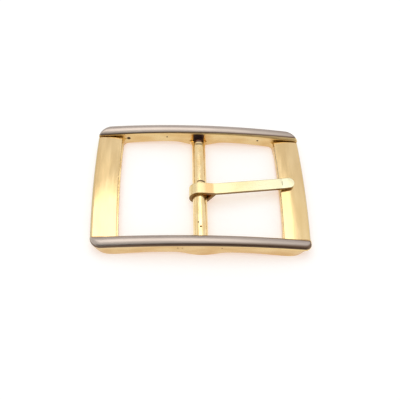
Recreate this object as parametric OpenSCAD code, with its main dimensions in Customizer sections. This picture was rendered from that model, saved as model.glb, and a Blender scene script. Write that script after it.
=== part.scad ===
// Centre-bar strap buckle in two metals: a gold casting with polished end plates, two satin half-round rails,
// a round centre bar and a strip prong bent round it. Millimetres.
// The origin is on the ground under the middle of the buckle. +X runs along the strap to the prong's tip,
// +Y runs across the strap to the far rail and +Z is up.

/* [Strap and outline] */
// Width of the strap the buckle is made for
strap_w = 25; // [18:0.5:40]
// Play between the strap and each long wall
strap_play = 0.95; // [0.3:0.05:2]
// Length over the two end bars, at mid width
frame_len = 48; // [40:0.5:70]
// How far each end bows out past its corners
end_bow = 0.5; // [0.2:0.05:1]
// Plan radius of the outer corners of the casting
corner_r = 3; // [2.4:0.1:3.6]
// Plan radius of the corners of the window
window_r = 1; // [0.5:0.1:1.8]

/* [Casting] */
// Thickness of the long walls
wall_t = 2.35; // [2:0.05:3.5]
// Height of the walls' top at the two ends
end_h = 2.55; // [2.3:0.05:3.5]
// Rise of the walls' top from the ends to the middle
arch_rise = 1.75; // [1.4:0.05:2.6]
// Width of each end bar, from the outer end to the window
end_bar_w = 5.9; // [5:0.1:7.5]
// Height of the shallow relief under each end bar
relief_h = 0.7; // [0.3:0.05:0.9]
// Length of each corner foot across the strap, inwards from the wall
relief_foot = 3.2; // [2:0.1:5]
// Height of the arches under the long walls
wave_h = 1.35; // [0.6:0.05:1.5]
// Distance of each arch's crest from the middle
wave_crest_x = 6; // [5:0.1:9]
// Length of each corner foot along the strap
foot_len = 5.6; // [4.5:0.1:8]

/* [Rails] */
// Height of a rail above the wall it sits on
rail_h = 1.1; // [0.8:0.05:1.6]
// Height of the upright skirt at the rail's two edges
rail_skirt = 0.15; // [0.05:0.05:0.35]
// How far a rail overhangs its wall on each side
rail_overhang = 0.1; // [0.05:0.05:0.2]
// How far the rails' ends are dressed back from the casting's ends
rail_end_in = 0.15; // [0.05:0.05:0.3]
// Plan radius at the near rail's left end
near_left_r = 2.4; // [1.4:0.1:3]
// Plan radius at the near rail's right end, which is dressed squarer than the others
near_right_r = 1.6; // [1.4:0.1:2.4]

/* [End plates] */
// Height of the level seats that the plates lie on
seat_z = 1.85; // [1.6:0.05:2]
// Thickness of a plate at the top of its crown
plate_t = 0.9; // [0.75:0.05:1]
// Radius of the plate's crown
crown_r = 26; // [15:1:60]
// Radius of the plate's rolled outer edge
roll_r = 0.7; // [0.5:0.05:0.75]
// Ledge of the casting left bare inside the left plate
left_ledge = 0.35; // [0.1:0.05:0.8]
// Ledge of the casting left bare inside the right plate
right_ledge = 0.1; // [0.1:0.05:0.8]
// Gap between a plate's end and the wall beside it
plate_end_gap = 0.35; // [0.2:0.05:0.6]
// Bevel on the plate's two ends
plate_bevel = 0.3; // [0.1:0.05:0.5]

/* [Centre bar] */
// Diameter of the bar
bar_d = 3.2; // [2.4:0.1:3.6]
// Height of the bar's axis
bar_z = 2.4; // [2.4:0.05:2.8]
// Place of the bar along the strap
bar_x = -0.25; // [-1:0.05:1]
// Width of the coined far end where it meets the wall
flare_w = 4.2; // [3.8:0.1:5]
// Length of the coined far end
flare_len = 1.3; // [1:0.1:2.2]
// Thickness of the tenon at the far end
tenon_t = 0.8; // [0.6:0.05:1.2]
// Width of the tenon
tenon_w = 2.4; // [1.6:0.1:3]
// Diameter of the round spigot at the near end
spigot_d = 2; // [1.4:0.1:2.2]
// Length of the tenon and of the spigot inside the walls
tenon_len = 1.5; // [0.8:0.1:1.7]
// Clearance round the tenon, the spigot and the keeper lug
slot_play = 0.05; // [0.02:0.01:0.1]

/* [Prong] */
// Thickness of the strip
strip_t = 0.7; // [0.5:0.05:0.72]
// Width of the strip at the loop
prong_w = 2.75; // [2:0.05:4]
// Width of the strip just before its round tip
prong_tip_w = 2.7; // [1.8:0.05:4]
// Running clearance between the loop and the bar
prong_play = 0.08; // [0.02:0.01:0.1]
// Reach of the loop's drawn-out nose from the bar's axis
nose_reach = 2.6; // [2.2:0.1:4]
// Gap between the curled end and the underside of the tongue
curl_gap = 0.05; // [0.03:0.01:0.15]
// Place of the loop along the bar, from the middle
prong_y = -1.8; // [-6:0.05:6]
// Where the tongue turns sideways, from the middle of the buckle
kink_x = 3.2; // [3:0.1:8]
// Sideways turn of the tongue, in degrees
kink_deg = 8; // [0:0.5:10]
// Distance past the plate's inner edge at which the tip is bent level
crease_past = 0.3; // [0.1:0.1:1]
// How far the tip laps over the right plate
tip_lap = 3.1; // [2:0.1:4]
// Gap between the resting tip and the top of the plate's crown
rest_gap = 0.08; // [0.06:0.01:0.15]

/* [Fixing rivets] */
// Diameter of the rivets' shanks
rivet_d = 0.9; // [0.6:0.05:1.1]
// Diameter of the closed heads, flush with the underside
head_d = 1.6; // [1.3:0.05:1.8]
// Thickness of the heads
head_t = 0.3; // [0.2:0.05:0.5]
// Depth that a shank reaches into its rail or plate
rivet_grip = 0.5; // [0.3:0.05:0.6]
// Clearance of a rivet in its hole
rivet_play = 0.02; // [0.01:0.01:0.05]
// Distance of the rail rivets from the casting's ends
rail_rivet_in = 3.9; // [3:0.1:4.4]
// Distance of the plate rivets from mid width
plate_rivet_y = 6.5; // [3:0.5:8]

/* [Hidden] */
gold = "goldenrod";
polished_gold = "gold";
satin_nickel = "silver";
eps = 0.01;
$fn = 96;
// Facets of the very large circles
big_fn = 2880;
// Height of the tall tool shapes that cut or bound the casting
tall = 2 * (end_h + arch_rise + rail_h);

// Outline
half_len = frame_len / 2;
wall_in = strap_w / 2 + strap_play;
wall_out = wall_in + wall_t;
// The ends are arcs that meet the corners end_bow short of the full length
bow_r = (wall_out * wall_out + end_bow * end_bow) / (2 * end_bow);
bow_x = half_len - bow_r;
// Centre of a corner of radius r on an outline whose ends lie end_in inside the casting's
function corner_at(end_in, y, r) = bow_x + sqrt(pow(bow_r - end_in, 2) - y * y) - r;

// Arch of the walls' top: a cylinder across the strap
arch_r = (half_len * half_len + arch_rise * arch_rise) / (2 * arch_rise);
arch_z = end_h + arch_rise - arch_r;
foot_x = half_len - foot_len;
function arch_top(x) = arch_z + sqrt(arch_r * arch_r - x * x);

// Rails
rail_in = wall_in - rail_overhang;
rail_out = wall_out + rail_overhang;
dome_w = (rail_out - rail_in) / 2;
dome_h = rail_h - rail_skirt;
dome_r = (dome_w * dome_w + dome_h * dome_h) / (2 * dome_h);
ridge_y = rail_in + dome_w;
// How far a rail's turned end stands proud of its straight flank, so that the two meet in a clean edge
end_proud = 0.01;
// How far the tools that dress the ends reach below the wall's top
end_sink = 0.2;

// End plates, with the top of the crown at mid width
left_plate_w = end_bar_w - left_ledge;
right_plate_w = end_bar_w - right_ledge;
plate_mid_x = half_len - end_bar_w / 2;
plate_top = seat_z + plate_t;
crown_z = plate_top - crown_r;
roll_x = half_len - roll_r;
roll_z = crown_z + sqrt(pow(crown_r - roll_r, 2) - pow(roll_x - plate_mid_x, 2));
roll_start = plate_mid_x + crown_r * (roll_x - plate_mid_x) / (crown_r - roll_r);
plate_half = wall_in - plate_end_gap;

// Centre bar
bar_r = bar_d / 2;
bar_foot = bar_z - bar_r;
tenon_top = bar_foot + tenon_t;
cove_r = bar_z + bar_r - tenon_top;
flare_out = flare_w / 2 - bar_r;
flare_r = (flare_len * flare_len + flare_out * flare_out) / (2 * flare_out);

// Prong: u runs along the tongue and v square to it, both from the bar's axis
loop_in = bar_r + prong_play;
loop_out = loop_in + strip_t;
crease_at = [half_len - right_plate_w + crease_past - bar_x, plate_top + rest_gap - bar_z];
tongue_fall = asin(loop_in / norm(crease_at)) - atan2(crease_at[1], crease_at[0]);
crease_u = sqrt(pow(norm(crease_at), 2) - loop_in * loop_in);
nose_deg = 2 * atan(loop_in / nose_reach);
tip_x = half_len - right_plate_w + tip_lap;

// Rivets
head_r = head_d / 2;
rivet_r = rivet_d / 2;
rail_rivet_x = half_len - rail_rivet_in;

// A plan outline with bowed ends: end_in is how far its ends lie inside the casting's
module plan(end_in, half_y, r) {
    corner_y = half_y - r;
    corner_x = corner_at(end_in, corner_y, r);
    intersection() {
        square([frame_len, 2 * corner_y], center = true);
        translate([bow_x, 0]) circle(bow_r - end_in, $fn = big_fn);
        translate([-bow_x, 0]) circle(bow_r - end_in, $fn = big_fn);
    }
    square([2 * corner_x, 2 * half_y], center = true);
    for (sx = [-1, 1], sy = [-1, 1]) translate([sx * corner_x, sy * corner_y]) circle(r);
}

// A cylinder across the whole strap, concentric with the arch
module arch_cylinder(r) {
    translate([0, 0, arch_z]) rotate([90, 0, 0]) cylinder(r = r, h = 4 * wall_out, center = true, $fn = big_fn);
}

// Sweeps a profile along the arch, from one angle of lean to another. The profile's x is the radius and y is +Y.
module arch_sweep(from_deg, to_deg) {
    translate([0, 0, arch_z]) rotate([-90, 0, 0]) rotate([0, 0, from_deg - 90])
        rotate_extrude(angle = to_deg - from_deg, $fn = big_fn) children();
}

// Underside of the long walls: on the ground at the middle and the corners, arched between
function wave(x) = x < wave_crest_x
    ? wave_h * (1 - cos(180 * x / wave_crest_x)) / 2
    : wave_h * cos(90 * (x - wave_crest_x) / (foot_x - wave_crest_x));
wave_step = foot_x / 30;

module wave_cut() {
    side = [for (i = [0:30]) [i * wave_step, wave(i * wave_step)]];
    for (s = [0, 1]) mirror([s, 0, 0]) rotate([90, 0, 0])
        linear_extrude(4 * wall_out, center = true) polygon(concat([[foot_x, -1], [0, -1]], side));
}

// Shallow relief under an end bar, sloping to the ground at the corner feet
module relief_cut() {
    flat_y = wall_in - relief_foot;
    rotate([90, 0, 90]) linear_extrude(2 * frame_len, center = true)
        polygon([[-flat_y - 2 * relief_h, -eps], [-flat_y, relief_h], [flat_y, relief_h],
                 [flat_y + 2 * relief_h, -eps]]);
}

module at_rail_rivets(side) {
    for (s = [-1, 1]) translate([s * rail_rivet_x, side * (wall_in + wall_t / 2), 0]) children();
}

module at_plate_rivets(side) {
    for (s = [-1, 1]) translate([side * plate_mid_x, s * plate_rivet_y, 0]) children();
}

// A closed rivet from the underside at foot up to top, and the same shape grown by play for its hole
module rivet(foot, top, play = 0) {
    translate([0, 0, foot - (play > 0 ? 1 : 0)])
        cylinder(r = head_r + play, h = head_t + play + (play > 0 ? 1 : 0), $fn = 48);
    translate([0, 0, foot]) cylinder(r = rivet_r + play, h = top + play - foot, $fn = 48);
}

rail_rivet_top = arch_top(rail_rivet_x) + rivet_grip;
plate_rivet_top = seat_z + rivet_grip;

module frame() {
    color(gold) difference() {
        intersection() {
            linear_extrude(tall) difference() {
                plan(0, wall_out, corner_r);
                plan(end_bar_w, wall_in, window_r);
            }
            arch_cylinder(arch_r);
        }
        wave_cut();
        relief_cut();
        // Seats of the end plates, between the walls
        for (s = [-1, 1]) translate([s * half_len, 0, seat_z + tall / 2])
            cube([2 * end_bar_w + 4, 2 * wall_in, tall], center = true);
        // Slot in the far wall for the bar's tenon and the keeper lug above it
        translate([bar_x, wall_in + tenon_len / 2, bar_foot - slot_play + tall / 2])
            cube([tenon_w + 2 * slot_play, tenon_len + 2 * slot_play, tall], center = true);
        // Blind hole in the near wall for the bar's spigot
        translate([bar_x, 1 - wall_in, bar_z]) rotate([90, 0, 0])
            cylinder(r = spigot_d / 2 + slot_play, h = tenon_len + slot_play + 1);
        for (s = [-1, 1]) at_rail_rivets(s) rivet(0, rail_rivet_top, rivet_play);
        for (s = [-1, 1]) at_plate_rivets(s) rivet(relief_h, plate_rivet_top, rivet_play);
    }
}

// The rail's dome between two distances from its ridge, standing foot below the wall's top
module dome(foot, from, to) {
    intersection() {
        translate([0, rail_h - dome_r]) circle(dome_r);
        translate([from, -foot]) square([to - from, rail_h + foot]);
    }
}

// Profile of a rail's turned end, out from the axis of its corner: level to the ridge, then down the outer flank
module end_profile(ridge_r) {
    translate([ridge_r, 0]) dome(2 * end_sink, 0, dome_w);
    translate([0, -2 * end_sink]) square([ridge_r, rail_h + 2 * end_sink]);
}

// What is dressed off a rail's +X end, so that its outer flank turns round a corner of radius r
module end_cut(r) {
    ridge_r = r + rail_overhang + end_proud - dome_w;
    lean = asin(corner_at(rail_end_in, wall_out - r, r) / arch_r);
    translate([0, 0, arch_z]) rotate([0, lean, 0]) translate([0, wall_out - r, arch_r]) difference() {
        translate([end_proud, -2 * dome_w, -end_sink])
            cube([r + 2, r + 2 * dome_w + 1, rail_h + 2 * end_sink]);
        translate([0, 0, end_proud]) {
            rotate_extrude(angle = 90) end_profile(ridge_r);
            rotate([90, 0, 0]) linear_extrude(3 * dome_w) end_profile(ridge_r);
        }
    }
}

// A rail on the +Y side. left_r and right_r are its end radii, and what is joined to its underside is passed in.
module rail(left_r, right_r) {
    full_deg = asin((half_len + 0.5) / arch_r);
    color(satin_nickel) difference() {
        union() {
            arch_sweep(-full_deg, full_deg) translate([arch_r, ridge_y]) mirror([1, -1]) dome(0, -dome_w, dome_w);
            children();
        }
        end_cut(right_r);
        mirror([1, 0, 0]) end_cut(left_r);
        at_rail_rivets(1) rivet(0, rail_rivet_top, rivet_play);
    }
}

// Lug under the far rail that fills the slot above the bar's tenon
module keeper_lug() {
    lug_foot = tenon_top + slot_play;
    translate([bar_x - tenon_w / 2, wall_in + slot_play, lug_foot])
        cube([tenon_w, tenon_len - slot_play, arch_top(bar_x) + rail_skirt - lug_foot]);
}

module far_rail() {
    rail(corner_r, corner_r) keeper_lug();
}

module near_rail() {
    mirror([0, 1, 0]) rail(near_left_r, near_right_r);
}

// Turns a profile about the centre of the end's bow. The profile's x is +X and its y is +Z.
module bow_turn() {
    translate([bow_x, 0, 0]) rotate([0, 0, -5]) rotate_extrude(angle = 10, $fn = big_fn)
        translate([-bow_x, 0]) children();
}

// A plate on the +X side, crowned along its width, bevelled at its ends and rolled over at its outer edge
module end_plate(w) {
    color(polished_gold) difference() {
        intersection() {
            difference() {
                bow_turn() intersection() {
                    translate([plate_mid_x, crown_z]) circle(crown_r, $fn = big_fn);
                    translate([half_len - w, seat_z]) square([w, tall]);
                }
                for (s = [-1, 1]) translate([half_len, s * (plate_half + wall_out), 0])
                    cube([4 * w, 2 * wall_out, 2 * tall], center = true);
                for (s = [-1, 1]) translate([plate_mid_x, s * plate_half, plate_top - plate_bevel])
                    rotate([-s * 45, 0, 0]) translate([0, 0, tall])
                        cube([4 * w, 4 * tall, 2 * tall], center = true);
            }
            bow_turn() {
                translate([roll_x, roll_z]) circle(roll_r);
                translate([roll_x, 0]) square([roll_r, roll_z]);
                square([roll_start, tall]);
            }
        }
        at_plate_rivets(1) rivet(relief_h, plate_rivet_top, rivet_play);
    }
}

module right_end_plate() {
    end_plate(right_plate_w);
}

module left_end_plate() {
    mirror([1, 0, 0]) end_plate(left_plate_w);
}

// The bar's far end, coined flat and wide, with a tenon
module coined_end() {
    translate([bar_x, 0, bar_foot]) {
        translate([0, wall_in - flare_len, 0]) linear_extrude(tenon_t + bar_r / 2) difference() {
            translate([-flare_w / 2, 0]) square([flare_w, flare_len - slot_play]);
            for (s = [-1, 1]) translate([s * (bar_r + flare_r), 0]) circle(flare_r);
        }
        translate([-tenon_w / 2, wall_in - flare_len, 0]) cube([tenon_w, flare_len + tenon_len, tenon_t]);
    }
}

// A round length of the bar, from y = from towards -Y
module bar_length(r, from, len) {
    translate([bar_x, from, bar_z]) rotate([90, 0, 0]) cylinder(r = r, h = len);
}

module centre_bar() {
    half = wall_in - slot_play;
    color(gold) difference() {
        union() {
            bar_length(bar_r, half, 2 * half);
            bar_length(spigot_d / 2, 0, wall_in + tenon_len);
            coined_end();
        }
        // The coining tool leaves a steep round cove above the flat end
        translate([bar_x, wall_in - flare_len + cove_r, tenon_top + cove_r]) {
            rotate([0, 90, 0]) cylinder(r = cove_r, h = 2 * flare_w, center = true);
            translate([-flare_w, 0, -cove_r]) cube([2 * flare_w, flare_len + tenon_len, 3 * cove_r]);
        }
    }
}

// The strip's edge-on outline: a loop round the bar, drawn out to a nose where the curled end closes on the tongue
module prong_side() {
    curl_top = loop_in - curl_gap;
    m = [sin(nose_deg), -cos(nose_deg)];
    nose_in = (loop_in + curl_top * cos(nose_deg)) / sin(nose_deg);
    nose_out = (loop_out + curl_top * cos(nose_deg)) / sin(nose_deg);
    difference() {
        union() {
            circle(loop_out);
            polygon([[0, 0], loop_out * m, [nose_out, curl_top], [nose_in, loop_out], [0, loop_out]]);
            tongue_side();
        }
        circle(loop_in);
        polygon([[0, 0], loop_in * m, [nose_in, curl_top], [nose_in, loop_in], [0, loop_in]]);
        translate([nose_in - eps, curl_top]) square([nose_out, curl_gap]);
    }
}

// The tongue's outline from the side, bent level where it laps over the plate
module tongue_side() {
    level = [cos(tongue_fall), sin(tongue_fall)];
    upright = [-level[1], level[0]];
    tip = [crease_u, loop_in] + (tip_lap + 1) * level;
    polygon([[0, loop_in], [crease_u, loop_in], tip, tip + strip_t * upright,
             [crease_u - strip_t * tan(tongue_fall / 2), loop_out], [0, loop_out]]);
}

// The strip seen from above: straight at the loop, then turned sideways and tapered to a round tip
module prong_plan() {
    tip_r = prong_tip_w / 2;
    len = (tip_x - kink_x) / cos(kink_deg) - tip_r;
    translate([bar_x - 2 * loop_out, prong_y - prong_w / 2])
        square([kink_x - bar_x + 2 * loop_out, prong_w]);
    translate([kink_x, prong_y]) {
        circle(prong_w / 2);
        rotate(kink_deg) {
            polygon([[0, -prong_w / 2], [len, -tip_r], [len, tip_r], [0, prong_w / 2]]);
            translate([len, 0]) circle(tip_r);
        }
    }
}

module prong() {
    color(polished_gold) intersection() {
        translate([bar_x, 0, bar_z]) rotate([90, tongue_fall, 0])
            linear_extrude(4 * wall_in, center = true) prong_side();
        translate([0, 0, -tall]) linear_extrude(3 * tall) prong_plan();
    }
}

module near_rail_rivets() {
    color(gold) at_rail_rivets(-1) rivet(0, rail_rivet_top);
}

module far_rail_rivets() {
    color(gold) at_rail_rivets(1) rivet(0, rail_rivet_top);
}

module left_plate_rivets() {
    color(gold) at_plate_rivets(-1) rivet(relief_h, plate_rivet_top);
}

module right_plate_rivets() {
    color(gold) at_plate_rivets(1) rivet(relief_h, plate_rivet_top);
}

frame();
near_rail();
far_rail();
left_end_plate();
right_end_plate();
centre_bar();
prong();
near_rail_rivets();
far_rail_rivets();
left_plate_rivets();
right_plate_rivets();
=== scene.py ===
"""Looks of a two-tone strap buckle: gold casting, satin nickel rails, polished gold plates, bar and prong."""
import math

import bmesh
import bpy
from mathutils import Matrix, Vector

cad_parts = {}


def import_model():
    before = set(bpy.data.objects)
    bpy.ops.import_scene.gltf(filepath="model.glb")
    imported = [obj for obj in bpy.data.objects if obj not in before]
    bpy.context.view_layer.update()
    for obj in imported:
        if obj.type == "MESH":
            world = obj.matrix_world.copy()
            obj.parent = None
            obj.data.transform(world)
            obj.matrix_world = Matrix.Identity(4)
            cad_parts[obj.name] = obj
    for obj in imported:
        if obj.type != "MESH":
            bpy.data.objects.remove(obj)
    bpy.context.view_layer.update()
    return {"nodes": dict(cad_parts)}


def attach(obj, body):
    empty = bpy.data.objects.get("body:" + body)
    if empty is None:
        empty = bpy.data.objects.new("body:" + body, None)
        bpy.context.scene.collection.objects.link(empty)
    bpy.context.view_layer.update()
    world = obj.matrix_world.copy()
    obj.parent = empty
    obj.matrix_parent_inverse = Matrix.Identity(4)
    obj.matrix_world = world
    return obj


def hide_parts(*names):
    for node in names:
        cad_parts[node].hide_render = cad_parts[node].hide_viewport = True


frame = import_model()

MM = 0.001
SAME = 1e-4      # points closer than this, in millimetres, are one

# Sizes of the buckle in millimetres, as in the part's source. Only the prong's PRONG_ and KINK sizes differ a
# little, to follow the photograph more closely, and the rounder corners at the ground are added.
HALF_LEN = 24.0
WALL_IN = 13.45
WALL_OUT = 15.8
END_BOW = 0.5
CORNER_R = 3.0
GROUND_CORNER_R = 4.2
WINDOW_R = 1.0
END_BAR_W = 5.9
END_H = 2.55
ARCH_RISE = 1.75
SEAT_Z = 1.85
WAVE_H = 1.35
WAVE_CREST_X = 6.0
FOOT_X = 18.4
RELIEF_H = 0.7
RELIEF_FOOT = 3.2
RAIL_H = 1.1
RAIL_SKIRT = 0.15
RAIL_OVERHANG = 0.1
RAIL_END_IN = 0.15
NEAR_LEFT_R = 2.4
NEAR_RIGHT_R = 1.6
LEFT_PLATE_W = 5.55
RIGHT_PLATE_W = 5.8
PLATE_T = 0.9
CROWN_R = 26.0
ROLL_R = 0.7
PLATE_HALF = 13.1
PLATE_BEVEL = 0.3
BAR_X = -0.25
BAR_Z = 2.4
BAR_R = 1.6
FLARE_W = 4.2
FLARE_LEN = 1.3
TENON_T = 0.8
TENON_W = 2.4
SPIGOT_R = 1.0
TENON_LEN = 1.5
SLOT_PLAY = 0.05
STRIP_T = 0.7
LOOP_IN = 1.68
NOSE_REACH = 2.6
PRONG_Y = -1.64
PRONG_W = 2.6
PRONG_TIP_W = 2.6
KINK_X = 3.2
KINK = math.radians(8.9)
CREASE_PAST = 0.3
CURL_GAP = 0.05
TIP_LAP = 3.1
REST_GAP = 0.08
RIVET_HEAD_R = 0.82
RIVET_HEAD_T = 0.32
RAIL_RIVET_X = 20.1
PLATE_RIVET_Y = 6.5

# Softened edges and steps of curves, which the source leaves to this script
CAST_EDGE_R = 0.16
RAIL_EDGE_R = 0.05
PLATE_EDGE_R = 0.07
BAR_EDGE_R = 0.08
STRIP_EDGE_R = 0.11
PLATE_STEPS = 26

# Curves that follow from them
BOW_R = (WALL_OUT ** 2 + END_BOW ** 2) / (2 * END_BOW)
BOW_X = HALF_LEN - BOW_R
ARCH_R = (HALF_LEN ** 2 + ARCH_RISE ** 2) / (2 * ARCH_RISE)
ARCH_Z = END_H + ARCH_RISE - ARCH_R
RAIL_IN = WALL_IN - RAIL_OVERHANG
RAIL_OUT = WALL_OUT + RAIL_OVERHANG
DOME_W = (RAIL_OUT - RAIL_IN) / 2
DOME_H = RAIL_H - RAIL_SKIRT
DOME_R = (DOME_W ** 2 + DOME_H ** 2) / (2 * DOME_H)
PLATE_X = HALF_LEN - END_BAR_W / 2
PLATE_TOP = SEAT_Z + PLATE_T
CROWN_Z = PLATE_TOP - CROWN_R
LOOP_OUT = LOOP_IN + STRIP_T


def bow(end_in, y):
    """How far +X an outline reaches at y whose ends lie end_in inside the casting's."""
    return BOW_X + math.sqrt((BOW_R - end_in) ** 2 - y * y)


def arch_top(x):
    return ARCH_Z + math.sqrt(ARCH_R ** 2 - x * x)


def crown_top(x):
    return CROWN_Z + math.sqrt(CROWN_R ** 2 - (x - PLATE_X) ** 2)


# Camera: found from the outline, the window, the bar and the prong in the photograph
CAMERA_TURN = math.radians(-8.326)
CAMERA_LIFT = math.radians(58.307)
CAMERA_ROLL = math.radians(8.262)
CAMERA_AWAY = 124.899
CAMERA_AIM = Vector((-0.012, -1.973, 0))
CAMERA_LENS = 49.468


def make_camera():
    back = Vector((math.sin(CAMERA_TURN) * math.cos(CAMERA_LIFT),
                   -math.cos(CAMERA_TURN) * math.cos(CAMERA_LIFT),
                   math.sin(CAMERA_LIFT)))
    level = Vector((math.cos(CAMERA_TURN), math.sin(CAMERA_TURN), 0))
    rise = back.cross(level)
    right = level * math.cos(CAMERA_ROLL) + rise * math.sin(CAMERA_ROLL)
    up = rise * math.cos(CAMERA_ROLL) - level * math.sin(CAMERA_ROLL)
    data = bpy.data.cameras.new("camera")
    data.lens = CAMERA_LENS
    data.sensor_width = 36
    data.clip_start = 0.001
    data.clip_end = 20
    camera = bpy.data.objects.new("camera", data)
    turn = Matrix((right, up, back)).transposed().to_4x4()
    camera.matrix_world = Matrix.Translation((CAMERA_AIM + CAMERA_AWAY * back) * MM) @ turn
    bpy.context.scene.collection.objects.link(camera)
    bpy.context.scene.camera = camera


# Shader maths
class Value:
    """One output of a shader node, or the start of a new tree. Sums on it add Math nodes."""

    def __init__(self, tree, socket=None):
        self.tree = tree
        self.socket = socket

    def node(self, kind, settings=None, inputs=None, output=0):
        """Adds a node of any kind: its settings first, then the values or links of its sockets."""
        made = self.tree.nodes.new(kind)
        for name, value in (settings or {}).items():
            setattr(made, name, value)
        for name, value in (inputs or {}).items():
            if isinstance(value, Value):
                self.tree.links.new(value.socket, made.inputs[name])
            else:
                made.inputs[name].default_value = value
        return Value(self.tree, made.outputs[output] if made.outputs else None)

    def maths(self, operation, *values):
        return self.node("ShaderNodeMath", {"operation": operation}, dict(enumerate(values)))

    def __add__(self, other):
        return self.maths("ADD", self, other)

    def __radd__(self, other):
        return self.maths("ADD", other, self)

    def __sub__(self, other):
        return self.maths("SUBTRACT", self, other)

    def __rsub__(self, other):
        return self.maths("SUBTRACT", other, self)

    def __mul__(self, other):
        return self.maths("MULTIPLY", self, other)

    def __rmul__(self, other):
        return self.maths("MULTIPLY", other, self)

    def __pow__(self, other):
        return self.maths("POWER", self, other)

    def at_least(self, other):
        return self.maths("MAXIMUM", self, other)

    def unsigned(self):
        return self.maths("ABSOLUTE", self)

    def ramp(self, low, high, to_low=0.0, to_high=1.0):
        """The value's place between low and high, eased, as a number from to_low to to_high."""
        return self.node("ShaderNodeMapRange", {"interpolation_type": "SMOOTHSTEP"},
                         {"Value": self, "From Min": low, "From Max": high,
                          "To Min": to_low, "To Max": to_high})

    def axis(self, name):
        """One coordinate of a vector: X, Y or Z."""
        return self.node("ShaderNodeSeparateXYZ", {}, {0: self}, "XYZ".index(name))

    def within(self, middle, half, soft):
        """1 where the value is less than half away from middle, eased to 0 over soft."""
        return (self - middle).unsigned().ramp(half, half + soft, 1.0, 0.0)

    def mix(self, first, second):
        """A colour that goes from first to second as this value goes from 0 to 1."""
        return self.node("ShaderNodeMix", {"data_type": "RGBA"}, {0: self, 6: first, 7: second}, 2)


def place_of(tree):
    """Where a point of the surface is, in millimetres."""
    here = Value(tree).node("ShaderNodeTexCoord", output=3)
    return here.node("ShaderNodeVectorMath", {"operation": "SCALE"}, {0: here, "Scale": 1 / MM})


def facing_of(place):
    """The direction in which the surface faces on its piece."""
    return place.node("ShaderNodeTexCoord", output=1)


def grain(place, stretch, scale, detail=2.0, roughness=0.5):
    """Noise with features of about 1 / scale millimetres, drawn out along the axes by stretch."""
    drawn = place.node("ShaderNodeMapping", {"vector_type": "TEXTURE"}, {"Vector": place, "Scale": stretch})
    return place.node("ShaderNodeTexNoise", {}, {"Vector": drawn, "Scale": scale, "Detail": detail,
                                                 "Roughness": roughness})


def spots(place, marks):
    """1 inside small round marks, each given as a point and a radius in millimetres."""
    found = None
    for point, radius in marks:
        away = place.node("ShaderNodeVectorMath", {"operation": "DISTANCE"}, {0: place, 1: point}, 1)
        mark = away.ramp(0.55 * radius, radius, 1.0, 0.0)
        found = mark if found is None else found.at_least(mark)
    return found


def metal(name, make):
    """A material whose maker gives the Principled shader's sockets from the place on the piece."""
    material = bpy.data.materials.new(name)
    material.use_nodes = True
    tree = material.node_tree
    tree.nodes.clear()
    place = place_of(tree)
    shader = place.node("ShaderNodeBsdfPrincipled", {}, {"Metallic": 1.0, **make(place)})
    place.node("ShaderNodeOutputMaterial", {}, {"Surface": shader})
    return material


def bump(place, height, depth_mm, strength):
    """A normal for small relief, its height from 0 to 1 standing for depth_mm."""
    return place.node("ShaderNodeBump", {}, {"Height": height, "Strength": strength,
                                             "Distance": depth_mm * MM})


# Colours of the finishes
GOLD = (0.90, 0.66, 0.31, 1)
PALE_GOLD = (0.96, 0.76, 0.42, 1)
DEEP_CAST = (0.71, 0.48, 0.21, 1)
PALE_CAST = (0.82, 0.62, 0.32, 1)
PLATE_GOLD = (0.775, 0.56, 0.27, 1)
PALE_PLATE = (0.83, 0.625, 0.33, 1)
NICKEL = (0.475, 0.405, 0.35, 1)
DARK_NICKEL = (0.425, 0.36, 0.31, 1)
# painted shade on the rails' lower flanks
FLANK_SHADE_BROWN = (0.165, 0.105, 0.07, 1)
# painted shade of the slot round the keeper lug, on the lug and on the bar's far end
SLOT_SHADE_BROWN = (0.16, 0.09, 0.078, 1)
SLOT_SHADE_GREY = (0.26, 0.165, 0.145, 1)
# painted shade on the prong's side faces and tip end
SIDE_FACE_SHADE = (0.24, 0.135, 0.045, 1)
# paler golds painted on the prong's tongue and tip as a highlight
TONGUE_HIGHLIGHT = (0.93, 0.79, 0.43, 1)
PALE_TONGUE_HIGHLIGHT = (0.97, 0.86, 0.51, 1)
TIP_HIGHLIGHT = (0.985, 0.94, 0.62, 1)
# the prong's loop, painted from lit to shaded gold
LOOP_GOLD = (0.86, 0.69, 0.37, 1)
LOOP_SHADE = (0.76, 0.52, 0.25, 1)
# olive painted shade on the plates' rolled edges and the prong's far edge
OLIVE_EDGE_SHADE = (0.46, 0.38, 0.19, 1)
# the dark of real pits, also used for painted shade lines and a painted reflection
TARNISH_AND_SHADE = (0.10, 0.055, 0.03, 1)

# Marks in the photograph: small pits as a point and a radius, and the places of painted shade lines, a
# painted reflection and painted slot shade
CASTING_MARKS = [((-16.7, 13.45, 2.11), 0.55), ((-7.67, 13.45, 3.04), 0.25), ((13.92, 13.45, 2.54), 0.3),
                 ((-5.2, -15.8, 3.21), 0.22), ((-4.27, -15.8, 3.23), 0.2), ((4.08, -15.8, 3.37), 0.2)]
BAR_MARKS = [((-0.32, -10.95, 4.0), 0.3), ((-0.82, -9.85, 3.9), 0.22)]
COIN_LINE_Y = 10.95
SLOT_SHADE_Y = 11.52
SLOT_SHADE_HALF_W = 1.05
LOOP_REFLECTION_Y = 0.66
LOOP_REFLECTION_BEND = 0.12
LOOP_REFLECTION_HALF_W = 0.75
CREASE_SHADE_X = 18.5
CREASE_SHADE_Y = 0.75

# The brown band of painted shade at a rail's foot starts this high over the wall, at mid length and at the
# rail's outer side. Below it, on the inner side, the wall's gold shows up to the lip's height. The band rises
# a little with X.
BROWN_IN, BROWN_OUT = 0.82, 0.95
LIP_IN, LIP_OUT = 0.5, 0.12
FOOT_LINE_RISE = 0.011


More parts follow.
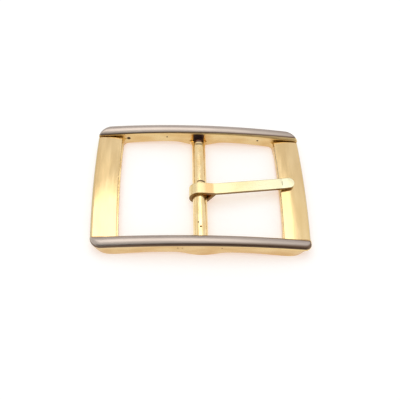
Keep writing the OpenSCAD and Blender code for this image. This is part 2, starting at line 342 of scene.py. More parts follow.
def cast_gold(place):
    """Gold over a tumbled casting: soft unevenness, fine orange peel and a few dark pits."""
    cloud = grain(place, (2.5, 1, 1), 0.45, 3)
    peel = grain(place, (1, 1, 1), 5.0, 2)
    tone = cloud.ramp(0.3, 0.7).mix(DEEP_CAST, PALE_CAST)
    pits = spots(place, CASTING_MARKS)
    return {"Base Color": pits.mix(tone, TARNISH_AND_SHADE),
            "Roughness": cloud.ramp(0.25, 0.75, 0.17, 0.27) + pits * 0.3,
            "Normal": bump(place, cloud * 0.9 + peel * 0.2 - pits * 0.5, 0.08, 0.7)}


def polished_gold(place):
    """Mirror gold, a little wavy from the wheel, with streaks and hairlines, and olive painted shade on the
    rolled edge.
    """
    wave = grain(place, (1, 2.6, 1), 0.28, 1)
    streak = grain(place, (1, 9, 1), 0.9, 2)
    hairs = grain(place, (14, 1, 1), 7.0, 3, 0.6)
    tone = (wave * 0.5 + streak * 0.5).ramp(0.35, 0.65).mix(PLATE_GOLD, PALE_PLATE)
    # painted shade: the rolled outer edge is coloured olive
    rolled = place.axis("Z").ramp(PLATE_TOP - 0.45, PLATE_TOP - 0.13, 1.0, 0.0)
    return {"Base Color": rolled.mix(tone, OLIVE_EDGE_SHADE),
            "Roughness": streak.ramp(0.35, 0.7, 0.11, 0.2),
            "Normal": bump(place, wave + streak * 0.35 + hairs * 0.01, 0.06, 0.5)}


def prong_gold(place):
    """The strip's gold, brushed along its faces: painted shade on its side faces and tip end, a dark line
    painted across the crease as its shade, the loop painted from lit to shaded gold, the tongue and tip
    painted paler as a highlight, and an olive painted shade line along the far edge.
    """
    brush = grain(place, (12, 1, 1), 6.0, 3, 0.6)
    cloud = grain(place, (3, 1, 1), 0.5, 1)
    x, y = place.axis("X"), place.axis("Y")
    facing = facing_of(place)
    # painted shade: the side faces and the end of the tip are coloured brown
    side_shade = facing.axis("Y").unsigned().ramp(0.35, 0.8)
    tip = facing.axis("X").ramp(0.45, 0.9, 0.0, 0.8) * x.ramp(15, 17)
    # a dark line painted across the crease, as its shade
    crease_shade = x.within(CREASE_SHADE_X, 0.03, 0.12) * y.within(CREASE_SHADE_Y, 0.4, 0.35) * 0.7
    # the loop painted from lit gold to shaded gold along X
    loop = x.ramp(0.2, 1.2).mix(LOOP_GOLD, LOOP_SHADE)
    # the tongue and tip painted in paler golds, as a highlight
    tongue = x.ramp(2.3, 3.0).mix(loop, cloud.ramp(0.3, 0.7).mix(TONGUE_HIGHLIGHT, PALE_TONGUE_HIGHLIGHT))
    tongue = x.ramp(9, 15).mix(tongue, TIP_HIGHLIGHT)
    off_middle = y - PRONG_Y - (x - KINK_X).at_least(0.0) * math.tan(KINK)
    # painted shade: a thin olive line along the tongue's far edge
    far_edge_shade = off_middle.ramp(PRONG_W / 2 - 0.16, PRONG_W / 2 - 0.04) * x.ramp(3.4, 4.4, 0.7, 1.0)
    tone = side_shade.at_least(tip).mix((far_edge_shade * 0.75).mix(tongue, OLIVE_EDGE_SHADE), SIDE_FACE_SHADE)
    return {"Base Color": crease_shade.mix(tone, TARNISH_AND_SHADE),
            "Roughness": brush.ramp(0.3, 0.75, 0.26, 0.36) + crease_shade * 0.2,
            "Normal": bump(place, cloud * 0.4 + brush * 0.03 - crease_shade * 0.4, 0.05, 0.5)}


def bar_gold(place):
    """The drawn bar: draw lines, pits, a painted reflection of the prong's loop as a dark curved line, a
    painted shade line where the coined end starts, and painted shade of the slot at its far end.
    """
    draw = grain(place, (1, 18, 1), 4.0, 3, 0.6)
    cloud = grain(place, (1, 2, 1), 0.8, 2)
    x, y = place.axis("X"), place.axis("Y")
    # a painted reflection of the prong's loop: a dark curved line across the bar
    ring = (y + x * x * LOOP_REFLECTION_BEND).within(LOOP_REFLECTION_Y, 0.14, 0.08) * x.within(0, LOOP_REFLECTION_HALF_W, 0.3)
    # a painted shade line where the bar's coined end starts
    coined = y.within(COIN_LINE_Y, 0.2, 0.1) * x.within(BAR_X, 0.6, 0.4)
    # painted shade: the bar's far end is coloured like the shaded slot
    slot_shade = y.ramp(SLOT_SHADE_Y - 0.1, SLOT_SHADE_Y + 0.1) * x.within(BAR_X, SLOT_SHADE_HALF_W, 0.2)
    # real pits together with the painted reflection and shade line above
    pits = spots(place, BAR_MARKS).at_least(ring * 0.95).at_least(coined * 0.7)
    tone = slot_shade.mix(cloud.ramp(0.3, 0.7).mix(GOLD, PALE_GOLD), SLOT_SHADE_BROWN)
    return {"Base Color": pits.mix(tone, TARNISH_AND_SHADE),
            "Roughness": draw.ramp(0.35, 0.75, 0.14, 0.24) + pits * 0.3,
            "Normal": bump(place, cloud + draw * 0.05 - pits * 0.3, 0.05, 0.5)}


def satin_nickel(place):
    """Nickel brushed along the rail, over a brown band of painted shade at its foot and, on the inner side, a
    lip of the wall's gold.
    """
    brush = grain(place, (26, 1, 1), 9.0, 4, 0.65)
    cloud = grain(place, (3, 1, 1), 0.5, 2)
    tone = (cloud * 0.7 + brush * 0.3).ramp(0.3, 0.7).mix(DARK_NICKEL, NICKEL)
    x = place.axis("X")
    out = place.axis("Y").unsigned()
    wall_top = (ARCH_R ** 2 - x * x) ** 0.5 + ARCH_Z
    above = place.axis("Z") - wall_top - x * FOOT_LINE_RISE
    # painted shade: the rail's lower flanks are coloured brown from the wall up to this height
    brown = above.ramp(BROWN_IN - 0.2, out.ramp(14.5, 15.3, BROWN_IN, BROWN_OUT), 1.0, 0.0)
    lip = (above - out.ramp(14.2, 14.8, LIP_IN, LIP_OUT)).ramp(-0.06, 0.08, 1.0, 0.0)
    return {"Base Color": lip.mix(brown.mix(tone, FLANK_SHADE_BROWN), GOLD),
            "Roughness": brush.ramp(0.3, 0.75, 0.34, 0.42),
            "Normal": bump(place, brush, 0.002, 0.5)}


def shaded_lug(place):
    """The keeper lug, coloured dark as painted shade of the slot that it sits in."""
    mottle = grain(place, (1, 1, 1), 2.5, 3)
    return {"Base Color": mottle.ramp(0.3, 0.7).mix(SLOT_SHADE_BROWN, SLOT_SHADE_GREY),
            "Roughness": mottle.ramp(0.3, 0.7, 0.45, 0.6)}


# Mesh helpers
def draw_out(bm, edges, move):
    """Extrudes a row of edges, moves each new vertex, and gives the new row."""
    made = bmesh.ops.extrude_edge_only(bm, edges=edges)["geom"]
    verts = {v for v in made if isinstance(v, bmesh.types.BMVert)}
    for v in verts:
        move(v)
    return [e for e in made if isinstance(e, bmesh.types.BMEdge) and verts.issuperset(e.verts)]


def pull_faces(bm, faces, move):
    """Extrudes faces, moves each new vertex, and gives the new faces. Nothing is left inside a solid."""
    edges = {e for f in faces for e in f.edges}
    made = bmesh.ops.extrude_face_region(bm, geom=[*faces, *edges])["geom"]
    for v in made:
        if isinstance(v, bmesh.types.BMVert):
            move(v)
    return [f for f in made if isinstance(f, bmesh.types.BMFace)]


def weld(bm):
    bmesh.ops.remove_doubles(bm, verts=bm.verts, dist=SAME)


def outward(bm):
    """Welds a closed mesh and turns all its faces outward."""
    weld(bm)
    bmesh.ops.recalc_face_normals(bm, faces=bm.faces)


def soften(bm, width, segments=2, sharper_than=35, among=None):
    """Rounds every outward edge that is sharper than an angle in degrees, or those among some edges."""
    limit = math.radians(sharper_than)
    edges = [e for e in among or bm.edges if e.is_manifold and e.is_convex and e.calc_face_angle() > limit]
    bmesh.ops.bevel(bm, geom=edges, offset=width, segments=segments, profile=0.5, affect="EDGES",
                    material=-1, clamp_overlap=True)


def shade(bm, sharper_than=32):
    """Smooth faces, with the corners between plain faces kept crisp."""
    limit = math.radians(sharper_than)
    for f in bm.faces:
        f.smooth = True
    for e in bm.edges:
        e.smooth = not (e.is_manifold and e.calc_face_angle() > limit)


def combine(bm, tool, operation):
    """Joins the closed shapes of tool to bm or cuts them out of it, with nothing left inside."""
    pair = []
    for shape in (bm, tool):
        mesh = bpy.data.meshes.new("shape")
        shape.to_mesh(mesh)
        shape.free()
        thing = bpy.data.objects.new("shape", mesh)
        bpy.context.scene.collection.objects.link(thing)
        pair.append(thing)
    joint = pair[0].modifiers.new("joint", "BOOLEAN")
    joint.operation = operation
    joint.solver = "EXACT"
    joint.use_self = True
    joint.object = pair[1]
    bpy.context.view_layer.update()
    result = pair[0].evaluated_get(bpy.context.evaluated_depsgraph_get())
    left = bmesh.new()
    left.from_mesh(result.to_mesh())
    result.to_mesh_clear()
    for thing in pair:
        mesh = thing.data
        bpy.data.objects.remove(thing)
        bpy.data.meshes.remove(mesh)
    return left


def block(bm, low, high):
    """A box between two corners."""
    size = Vector(high) - Vector(low)
    middle = (Vector(high) + Vector(low)) / 2
    bmesh.ops.create_cube(bm, size=1, matrix=Matrix.Translation(middle) @ Matrix.Diagonal((*size, 1)))


def rod(bm, radius, from_y, to_y):
    """A closed round rod on the bar's axis."""
    turn = Matrix.Translation((BAR_X, (from_y + to_y) / 2, BAR_Z)) @ Matrix.Rotation(math.pi / 2, 4, "X")
    bmesh.ops.create_cone(bm, segments=48, radius1=radius, radius2=radius, depth=to_y - from_y, cap_ends=True,
                          matrix=turn)


def piece(name, bm, materials, body, slot, *nodes):
    """Makes a piece of a mesh in millimetres. It rides on a body and stands for CAD nodes."""
    bmesh.ops.scale(bm, vec=(MM, MM, MM), verts=bm.verts)
    mesh = bpy.data.meshes.new(name)
    bm.to_mesh(mesh)
    bm.free()
    made = bpy.data.objects.new(name, mesh)
    bpy.context.scene.collection.objects.link(made)
    for material in materials:
        mesh.materials.append(material)
    even = made.modifiers.new("even shading", "WEIGHTED_NORMAL")
    even.keep_sharp = True
    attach(made, body)
    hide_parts(*nodes)
    return made


# The casting
def wave(x):
    """Height of the underside of a long wall."""
    x = abs(x)
    if x < WAVE_CREST_X:
        return WAVE_H * (1 - math.cos(math.pi * x / WAVE_CREST_X)) / 2
    if x < FOOT_X:
        return WAVE_H * math.cos(math.pi / 2 * (x - WAVE_CREST_X) / (FOOT_X - WAVE_CREST_X))
    return 0


def relief(y):
    """Height of the underside of an end bar."""
    flat = WALL_IN - RELIEF_FOOT
    return min(RELIEF_H, max(0, RELIEF_H - (abs(y) - flat) / 2))


def casting_plan(bm):
    """The quarter of the plan at +X and +Y: a wall with its corner, then half an end bar."""
    wall_steps, corner_steps, end_steps = 32, 8, 12
    window_x = bow(END_BAR_W, WALL_IN - WINDOW_R) - WINDOW_R
    corner_y = WALL_OUT - CORNER_R
    corner_x = bow(0, corner_y) - CORNER_R
    row = [bm.edges.new((bm.verts.new((0, WALL_IN, 0)), bm.verts.new((0, WALL_OUT, 0))))]
    stops = [window_x * i / wall_steps for i in range(1, wall_steps + 1)]
    stops += [window_x + (corner_x - window_x) * i / corner_steps for i in range(1, corner_steps + 1)]
    for x in stops:
        row = draw_out(bm, row, lambda v: setattr(v.co, "x", x))
    pivot = Vector((corner_x, WALL_IN, 0))
    bmesh.ops.spin(bm, geom=row + list(row[0].verts), cent=pivot, axis=(0, 0, -1), angle=math.pi / 2,
                   steps=end_steps, use_merge=False)
    last_turn = math.acos((WALL_IN - corner_y) / CORNER_R) / (math.pi / 2)
    for v in bm.verts:
        if v.co.x > corner_x + SAME:
            turn = math.atan2(v.co.x - corner_x, v.co.y - WALL_IN) * last_turn
            v.co.x = corner_x + CORNER_R * math.sin(turn)
            v.co.y = corner_y + CORNER_R * math.cos(turn)

    def outline(y):
        if y < corner_y:
            return bow(0, y)
        return corner_x + math.sqrt(CORNER_R ** 2 - (y - corner_y) ** 2)

    weld(bm)
    row = [e for e in bm.edges
           if all(abs(v.co.y - WALL_IN) < SAME and v.co.x > window_x - SAME for v in e.verts)]
    ends = [(WALL_IN - WINDOW_R + WINDOW_R * math.cos(a), window_x + WINDOW_R * math.sin(a))
            for a in (math.radians(18 * i) for i in range(1, 6))]
    # Rows where the underside's relief starts and ends, then even ones
    ends += [(y, bow(END_BAR_W, y)) for y in (11.65, 10.95, 10.25, 8.5, 6.5, 4.5, 2.25, 0)]
    last_in, last_out = window_x, outline(WALL_IN)
    for y, inner in ends:
        def settle(v):
            share = (v.co.x - last_in) / (last_out - last_in)
            v.co.x = inner + share * (outline(y) - inner)
            v.co.y = y
        row = draw_out(bm, row, settle)
        last_in, last_out = inner, outline(y)


def ground_corner(p):
    """Moves a point of the underside in to the rounder corners that the casting has at the ground."""
    x, y = abs(p.x), abs(p.y)
    corner_x = bow(0, WALL_OUT - CORNER_R) - GROUND_CORNER_R
    corner_y = WALL_OUT - GROUND_CORNER_R
    out = math.hypot(x - corner_x, y - corner_y)
    if x > corner_x and y > corner_y and out > GROUND_CORNER_R:
        p.x = math.copysign(corner_x + (x - corner_x) * GROUND_CORNER_R / out, p.x)
        p.y = math.copysign(corner_y + (y - corner_y) * GROUND_CORNER_R / out, p.y)


def make_casting(material):
    bm = bmesh.new()
    casting_plan(bm)
    for axis in "XY":
        everything = bm.verts[:] + bm.edges[:] + bm.faces[:]
        bmesh.ops.mirror(bm, geom=everything, matrix=Matrix.Identity(4), merge_dist=SAME, axis=axis)
    under = bm.verts[:]
    top = pull_faces(bm, bm.faces[:], lambda v: setattr(v.co, "z", SEAT_Z))
    walls = [f for f in top if abs(f.calc_center_median().y) > WALL_IN]
    pull_faces(bm, walls, lambda v: setattr(v.co, "z", arch_top(v.co.x)))
    for v in under:
        v.co.z = max(wave(v.co.x), relief(v.co.y))
        ground_corner(v.co)
    outward(bm)
    soften(bm, CAST_EDGE_R)
    tool = bmesh.new()
    deep = TENON_LEN + SLOT_PLAY
    block(tool, (BAR_X - TENON_W / 2 - SLOT_PLAY, WALL_IN - 0.3, BAR_Z - BAR_R - SLOT_PLAY),
          (BAR_X + TENON_W / 2 + SLOT_PLAY, WALL_IN + deep, 8))
    rod(tool, SPIGOT_R + SLOT_PLAY, -WALL_IN - deep, 0.3 - WALL_IN)
    for side in (-1, 1):
        middle = side * (WALL_IN + WALL_OUT) / 2
        for end in (-1, 1):
            for x, y, foot in ((RAIL_RIVET_X, middle, 0), (PLATE_X, side * PLATE_RIVET_Y, RELIEF_H)):
                bmesh.ops.create_cone(tool, segments=48, radius1=RIVET_HEAD_R, radius2=RIVET_HEAD_R, depth=1,
                                      cap_ends=True, matrix=Matrix.Translation(
                                          (end * x, y, foot + RIVET_HEAD_T - 0.5)))
    for point, radius in CASTING_MARKS:
        bmesh.ops.create_icosphere(tool, subdivisions=3, radius=0.75 * radius,
                                   matrix=Matrix.Translation(Vector(point) + Vector((0, 0.3 * radius * (
                                       -1 if point[1] > 0 else 1), 0))))
    bm = combine(bm, tool, "DIFFERENCE")
    shade(bm)
    return piece("gold_casting", bm, [material], "buckle", "cast_gold", "frame")


# The rails
def dome(d):
    """Height of a rail at a distance in from its edge."""
    return RAIL_H - DOME_R + math.sqrt(DOME_R ** 2 - max(0, DOME_W - d) ** 2)


class RailEnd:
    """The plan of one end of a rail, on the +X side: a square corner on the inside, a round one outside."""

    def __init__(self, radius):
        self.r = radius + RAIL_OVERHANG
        self.y = WALL_OUT - radius
        self.x = bow(RAIL_END_IN, self.y) - radius
        self.end_x = self.x + self.r
        self.pivot_x = min(self.x, self.end_x - 2 * DOME_W)

    def reach(self, turn):
        """Distance from the pivot to the outline, for a direction that turns from +Y to +X."""
        s, c = math.sin(turn), math.cos(turn)
        side, ahead = 2 * DOME_W, self.end_x - self.pivot_x
        if c > 1e-6 and self.pivot_x + side / c * s <= self.x:
            return side / c
        if s > 1e-6 and RAIL_IN + ahead / s * c <= self.y:
            return ahead / s
        px, py = self.pivot_x - self.x, RAIL_IN - self.y
        along = px * s + py * c
        return -along + math.sqrt(along * along - px * px - py * py + self.r ** 2)

    def edge(self, x, y):
        """Distance of a point in the plan from the outer outline."""
        if x > self.x and y > self.y:
            return self.r - math.hypot(x - self.x, y - self.y)
        return min(RAIL_OUT - y, self.end_x - x)


def make_rail(name, side, left_r, right_r, materials, node):
    left, right = RailEnd(left_r), RailEnd(right_r)
    steep = math.asin(DOME_W / DOME_R)
    bm = bmesh.new()
    bmesh.ops.create_grid(bm, x_segments=60, y_segments=22, size=1)
    middle_x, half_x = (right.pivot_x - left.pivot_x) / 2, (right.pivot_x + left.pivot_x) / 2
    for v in bm.verts:
        v.co.x = middle_x + half_x * v.co.x
        v.co.y = RAIL_IN + DOME_W + DOME_R * math.sin(steep * v.co.y)
    for way, end in ((1, right), (-1, left)):
        at_end = [v for v in bm.verts if abs(v.co.x - way * end.pivot_x) < SAME]
        row = [e for e in bm.edges if all(v in at_end for v in e.verts)]
        bmesh.ops.spin(bm, geom=at_end + row, cent=(way * end.pivot_x, RAIL_IN, 0), axis=(0, 0, -way),
                       angle=math.pi / 2, steps=20, use_merge=False)
        for v in bm.verts:
            out = way * v.co.x - end.pivot_x
            if out > 1e-5:
                turn = math.atan2(out, v.co.y - RAIL_IN)
                share = math.hypot(out, v.co.y - RAIL_IN) / (2 * DOME_W)
                v.co.x = way * (end.pivot_x + share * end.reach(turn) * math.sin(turn))
                v.co.y = RAIL_IN + share * end.reach(turn) * math.cos(turn)
    weld(bm)

    def raise_dome(v):
        end = right if v.co.x > 0 else left
        v.co.z = min(dome(v.co.y - RAIL_IN), dome(end.edge(abs(v.co.x), v.co.y)))

    pull_faces(bm, bm.faces[:], raise_dome)
    outward(bm)
    soften(bm, RAIL_EDGE_R, 2, 60)
    for v in bm.verts:
        lean = math.asin(v.co.x / ARCH_R)
        v.co.x += v.co.z * math.sin(lean)
        v.co.z = ARCH_Z + (ARCH_R + v.co.z) * math.cos(lean)
    if side > 0:
        lug = bmesh.new()
        block(lug, (BAR_X - TENON_W / 2, WALL_IN + SLOT_PLAY, BAR_Z - BAR_R + TENON_T + SLOT_PLAY),
              (BAR_X + TENON_W / 2, WALL_IN + TENON_LEN, arch_top(BAR_X) + RAIL_SKIRT / 2))
        bm = combine(bm, lug, "UNION")
        for f in bm.faces:
            middle = f.calc_center_median()
            f.material_index = 1 if middle.z < arch_top(middle.x) - 0.02 and abs(middle.x) < 2 else 0
    else:
        bmesh.ops.scale(bm, vec=(1, -1, 1), verts=bm.verts)
        bmesh.ops.reverse_faces(bm, faces=bm.faces)
    shade(bm, 40)
    return piece(name, bm, materials, "buckle", "satin_nickel", node)


# The end plates
def make_plate(name, way, width, material, node):
    """A plate from its section: the crown, the rolled outer edge and the seat below."""
    bm = bmesh.new()
    inner = HALF_LEN - width
    roll_x = HALF_LEN - ROLL_R
    roll_z = CROWN_Z + math.sqrt((CROWN_R - ROLL_R) ** 2 - (roll_x - PLATE_X) ** 2)
    start = math.atan2(inner - PLATE_X, crown_top(inner) - CROWN_Z)
    stop = math.atan2(roll_x - PLATE_X, roll_z - CROWN_Z)
    first = bm.verts.new((inner, -PLATE_HALF, crown_top(inner)))
    bmesh.ops.spin(bm, geom=[first], cent=(PLATE_X, 0, CROWN_Z), axis=(0, 1, 0), angle=stop - start,
                   steps=PLATE_STEPS, use_merge=False)
    last = max(bm.verts, key=lambda v: v.co.x)
    bmesh.ops.spin(bm, geom=[last], cent=(roll_x, 0, roll_z), axis=(0, 1, 0), angle=math.pi / 2 - stop,
                   steps=12, use_merge=False)
    ends = [first, max(bm.verts, key=lambda v: v.co.x)]
    feet = bmesh.ops.extrude_vert_indiv(bm, verts=ends)["verts"]
    for v in feet:
        v.co.z = SEAT_Z
    bmesh.ops.contextual_create(bm, geom=feet)
    faces = bmesh.ops.contextual_create(bm, geom=bm.edges[:])["faces"]
    for i in range(PLATE_STEPS):
        y = -PLATE_HALF + 2 * PLATE_HALF * (i + 1) / PLATE_STEPS
        faces = pull_faces(bm, faces, lambda v: setattr(v.co, "y", y))
    outward(bm)
    along = [e for e in bm.edges if abs(e.verts[0].co.y - e.verts[1].co.y) > 0.1]
    soften(bm, PLATE_EDGE_R, 2, 30, along)

    def on_top(v):
        return v.co.z > SEAT_Z + 0.2

    chamfer = [e for e in bm.edges
               if all(abs(abs(v.co.y) - PLATE_HALF) < SAME and on_top(v) for v in e.verts)]
    bmesh.ops.bevel(bm, geom=chamfer, offset=PLATE_BEVEL, segments=1, profile=0.5, affect="EDGES",
                    material=-1, clamp_overlap=True)
    outward(bm)
    for v in bm.verts:
        v.co.x += bow(0, v.co.y) - HALF_LEN
    if way < 0:
        bmesh.ops.scale(bm, vec=(-1, 1, 1), verts=bm.verts)
        bmesh.ops.reverse_faces(bm, faces=bm.faces)
    shade(bm)
    return piece(name, bm, [material], "buckle", "polished_gold", node)


# The centre bar
def make_bar(material):
    """A round bar. Its far end is coined flat and wide and has a tenon, its near end has a round spigot."""
    cove = 2 * BAR_R - TENON_T
    flare_out = FLARE_W / 2 - BAR_R
    flare_r = (FLARE_LEN ** 2 + flare_out ** 2) / (2 * flare_out)
    start = WALL_IN - FLARE_LEN
    end = WALL_IN - SLOT_PLAY
    marks = (0.0, 0.02, 0.06, 0.12, 0.2, 0.32, 0.46, 0.62, 0.8, 1.0, 1.15, FLARE_LEN - SLOT_PLAY)
    rows = [-10.0, -7.0, -3.5, 0.0, 3.5, 7.0, 10.0] + [start + c for c in marks]
    bm = bmesh.new()
    bmesh.ops.create_circle(bm, segments=56, radius=1, cap_ends=False,
                            matrix=Matrix.Rotation(math.pi / 2, 4, "X"))
    for v in bm.verts:
        v.co.y = -end
    row = bm.edges[:]
    caps = [row]
    for y in rows:
        row = draw_out(bm, row, lambda v: setattr(v.co, "y", y))
    caps.append(row)
    for rim in caps:
        bmesh.ops.contextual_create(bm, geom=rim)
    for v in bm.verts:
        c = max(0.0, v.co.y - start)
        wide = BAR_R + flare_r - math.sqrt(flare_r ** 2 - c * c)
        high = BAR_Z + BAR_R - math.sqrt(max(0, cove ** 2 - max(0, cove - c) ** 2))
        square = 2 / (2 + 5 * min(1, c / 0.9))
        across, up = v.co.x, v.co.z
        v.co.x = BAR_X + math.copysign(wide * abs(across) ** square, across)
        up = math.copysign(abs(up) ** square, up)
        v.co.z = BAR_Z - BAR_R + (high - BAR_Z + BAR_R) * (1 + up) / 2
    outward(bm)
    soften(bm, BAR_EDGE_R, 2, 50)
    ends = bmesh.new()
    block(ends, (BAR_X - TENON_W / 2, end - 0.1, BAR_Z - BAR_R),
          (BAR_X + TENON_W / 2, WALL_IN + TENON_LEN, BAR_Z - BAR_R + TENON_T))
    rod(ends, SPIGOT_R, -WALL_IN - TENON_LEN, 0.1 - end)
    bm = combine(bm, ends, "UNION")
    shade(bm)
    return piece("round_bar", bm, [material], "buckle", "polished_gold", "centre_bar")


# The prong
def make_prong(material):
    """A flat strip: up to the tongue from its curled end, round the bar, and out to the round tip."""
    middle = (LOOP_IN + LOOP_OUT) / 2
    crease_x = HALF_LEN - RIGHT_PLATE_W + CREASE_PAST
    down, ahead = PLATE_TOP + REST_GAP - BAR_Z, crease_x - BAR_X
    fall = math.asin(LOOP_IN / math.hypot(ahead, down)) - math.atan2(down, ahead)
    nose = 2 * math.atan(LOOP_IN / NOSE_REACH)
    curl_top = LOOP_IN - CURL_GAP
    tip_r = PRONG_TIP_W / 2
    tip_x = HALF_LEN - RIGHT_PLATE_W + TIP_LAP
    run = (tip_x - KINK_X) / math.cos(KINK) - tip_r

    def world(u, v):
        """X and Z of a point u along and v over the falling tongue, from the bar's axis."""
        return (BAR_X + u * math.cos(fall) + v * math.sin(fall),
                BAR_Z - u * math.sin(fall) + v * math.cos(fall))

    def tongue_z(x, v):
        """Height at x of the tongue's layer that lies v above the bar's axis, level past the crease."""
        u = ((x - BAR_X) - v * math.sin(fall)) / math.cos(fall)
        return max(world(u, v)[1], PLATE_TOP + REST_GAP + v - LOOP_IN)

    # Each stop on the strip's run is a function: from a place across the strip, -1 to 1, and whether it is on
    # the outer face, to a point
    def curl_stop(share):
        """On the strip that rises to the tongue, share 0 at its cut end and 1 on the loop."""
        def spot(across, outer):
            r = LOOP_OUT if outer else LOOP_IN
            on = (r * math.sin(nose), -r * math.cos(nose))
            rise = (curl_top - on[1]) / math.sin(nose)
            u = on[0] + (1 - share) * rise * math.cos(nose)
            v = on[1] + (1 - share) * rise * math.sin(nose)
            x, z = world(u, v)
            return x, PRONG_Y + across * PRONG_W / 2, z
        return spot

    def loop_stop(turn):
        """On the loop, turn measured from straight up towards -X."""
        def spot(across, outer):
            r = LOOP_OUT if outer else LOOP_IN
            x, z = world(-r * math.sin(turn), r * math.cos(turn))
            return x, PRONG_Y + across * PRONG_W / 2, z
        return spot

    def tongue_stop(along, half_width, turn):
        """On the tongue, along from the kink."""
        def spot(across, outer):
            if along < 0:
                px, py = KINK_X + along, PRONG_Y
            else:
                px, py = KINK_X + along * math.cos(KINK), PRONG_Y + along * math.sin(KINK)
            x = px - across * half_width * math.sin(turn)
            y = py + across * half_width * math.cos(turn)
            return x, y, tongue_z(x, LOOP_OUT if outer else LOOP_IN)
        return spot

    stops = [curl_stop(i / 4) for i in range(4)]
    loop_steps = 44
    around = math.pi + nose
    stops += [loop_stop(around * (1 - i / loop_steps)) for i in range(loop_steps + 1)]
    root = world(0, middle)[0] - KINK_X
    stops += [tongue_stop(root * (1 - i / 5), PRONG_W / 2, 0) for i in range(1, 5)]
    stops += [tongue_stop(a, PRONG_W / 2, KINK * t) for a, t in ((-0.2, 0.2), (0.0, 0.5), (0.2, 0.8))]
    crease = (crease_x - KINK_X) / math.cos(KINK)
    places = [0.4 + (crease - 0.8) * i / 18 for i in range(19)]
    places += [crease + 0.05 * i for i in range(-6, 7)] + [run]
    stops += [tongue_stop(a, PRONG_W / 2 + (tip_r - PRONG_W / 2) * a / run, KINK) for a in places]
    tip_steps = 12
    stops += [tongue_stop(run + tip_r * math.sin(a), tip_r * math.cos(a), KINK)
              for a in (math.pi / 2 * i / tip_steps for i in range(1, tip_steps + 1))]

    bm = bmesh.new()
    corners = ((-1, True), (1, True), (1, False), (-1, False))
    ring = [bm.verts.new(stops[0](*corner)) for corner in corners]
    bm.faces.new(ring)
    for stop in stops[1:]:
        upper = [bm.verts.new(stop(*corner)) for corner in corners]
        for i in range(4):
            bm.faces.new((ring[i], ring[(i + 1) % 4], upper[(i + 1) % 4], upper[i]))
        ring = upper
    outward(bm)
    soften(bm, STRIP_EDGE_R, 3, 50)
    shade(bm)
    return piece("prong_strip", bm, [material], "prong", "polished_gold", "prong")


# Stage, in metres
FLOOR_HALF = 0.19
FRONT_CARD = [(-0.5, -0.38, 0.23), (0.5, -0.38, 0.23), (0.5, -0.42, 0.01), (-0.5, -0.42, 0.01)]
BACK_CARD = [(-0.5, 0.42, 0.01), (0.5, 0.42, 0.01), (0.5, 0.215, 0.33), (-0.5, 0.215, 0.33)]
LAMP_SIZE = (0.286, 0.287)
LAMP_PLACE = (-0.057, 0.0435, 0.30)
LAMP_LEVEL = 1.25
PAPER = (0.55, 0.90, 0.99, 1)
PAPER_GLOW = (1, 0.585, 0.475, 1)
PAPER_GLOW_LEVEL = 3.2
PAPER_GLOW_SHARE = 0.2
DARK_CARD = (0.07, 0.055, 0.055, 1)
GREY_CARD = (0.86, 0.84, 0.86, 1)
SOFT_SKY = (0.70, 0.70, 0.70, 1)


def glowing(name, make):
    material = bpy.data.materials.new(name)
    material.use_nodes = True
    tree = material.node_tree
    tree.nodes.clear()
    start = Value(tree)
    start.node("ShaderNodeOutputMaterial", {}, {"Surface": make(start)})
    return material


def seen_directly(start):
    """1 for the camera and for what metal and glass mirror."""
    by_camera, by_mirror, by_glass = (
        start.node("ShaderNodeLightPath", output=way)
        for way in ("Is Camera Ray", "Is Glossy Ray", "Is Transmission Ray"))
    return by_camera.at_least(by_mirror).at_least(by_glass)


def floor_finish(start):
    """A sheet that is plain white where it is lit and keeps a soft, warm shadow."""
    paper = start.node("ShaderNodeBsdfDiffuse", {}, {"Color": PAPER})
    glow = start.node("ShaderNodeEmission", {}, {"Color": PAPER_GLOW, "Strength": PAPER_GLOW_LEVEL})
    share = seen_directly(start) * PAPER_GLOW_SHARE
    return start.node("ShaderNodeMixShader", {}, {0: share, 1: paper, 2: glow})


def card(name, corners, material):
    """A studio card that only metal mirrors."""
    mesh = bpy.data.meshes.new(name)
    bm = bmesh.new()
    bm.faces.new([bm.verts.new(c) for c in corners])
    bm.to_mesh(mesh)
    bm.free()
    made = bpy.data.objects.new(name, mesh)
    bpy.context.scene.collection.objects.link(made)
    mesh.materials.append(material)
    made.visible_camera = False
    made.visible_diffuse = False
    made.visible_shadow = False


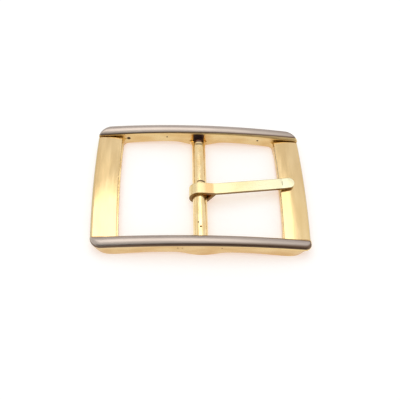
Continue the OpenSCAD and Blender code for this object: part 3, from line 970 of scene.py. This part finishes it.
def make_stage():
    bm = bmesh.new()
    bmesh.ops.create_grid(bm, x_segments=1, y_segments=1, size=FLOOR_HALF)
    mesh = bpy.data.meshes.new("floor")
    bm.to_mesh(mesh)
    bm.free()
    floor = bpy.data.objects.new("floor", mesh)
    bpy.context.scene.collection.objects.link(floor)
    mesh.materials.append(glowing("white_sheet", floor_finish))
    floor.visible_shadow = True

    card("front_card", FRONT_CARD, glowing("dark_card", lambda start: start.node(
        "ShaderNodeEmission", {}, {"Color": DARK_CARD, "Strength": 1.0})))
    card("back_card", BACK_CARD, glowing("grey_card", lambda start: start.node(
        "ShaderNodeEmission", {}, {"Color": GREY_CARD, "Strength": 1.0})))

    world = bpy.data.worlds.new("studio")
    bpy.context.scene.world = world
    world.use_nodes = True
    tree = world.node_tree
    tree.nodes.clear()
    start = Value(tree)
    level = seen_directly(start).mix(SOFT_SKY, (1, 1, 1, 1))
    sky = start.node("ShaderNodeBackground", {}, {"Color": level, "Strength": 1.0})
    start.node("ShaderNodeOutputWorld", {}, {"Surface": sky})

    data = bpy.data.lights.new("overhead", "AREA")
    data.shape = "RECTANGLE"
    data.size, data.size_y = LAMP_SIZE
    data.energy = LAMP_LEVEL * math.pi * data.size * data.size_y
    lamp = bpy.data.objects.new("overhead", data)
    lamp.location = LAMP_PLACE
    bpy.context.scene.collection.objects.link(lamp)


make_camera()
casting_gold = metal("cast_gold", cast_gold)
plate_gold = metal("polished_gold", polished_gold)
drawn_gold = metal("drawn_gold", bar_gold)
strip_gold = metal("brushed_gold", prong_gold)
rail_nickel = metal("satin_nickel", satin_nickel)
shaded_lug_nickel = metal("shaded_lug_nickel", shaded_lug)
make_casting(casting_gold)
make_rail("far_rail_satin", 1, CORNER_R, CORNER_R, [rail_nickel, shaded_lug_nickel], "far_rail")
make_rail("near_rail_satin", -1, NEAR_LEFT_R, NEAR_RIGHT_R, [rail_nickel], "near_rail")
make_plate("left_plate_crown", -1, LEFT_PLATE_W, plate_gold, "left_end_plate")
make_plate("right_plate_crown", 1, RIGHT_PLATE_W, plate_gold, "right_end_plate")
make_bar(drawn_gold)
make_prong(strip_gold)
for node in ("near_rail_rivets", "far_rail_rivets", "left_plate_rivets", "right_plate_rivets"):
    rivets = frame["nodes"][node].data
    rivets.materials.clear()
    rivets.materials.append(casting_gold)
make_stage()
bpy.context.scene.view_settings.view_transform = "Standard"
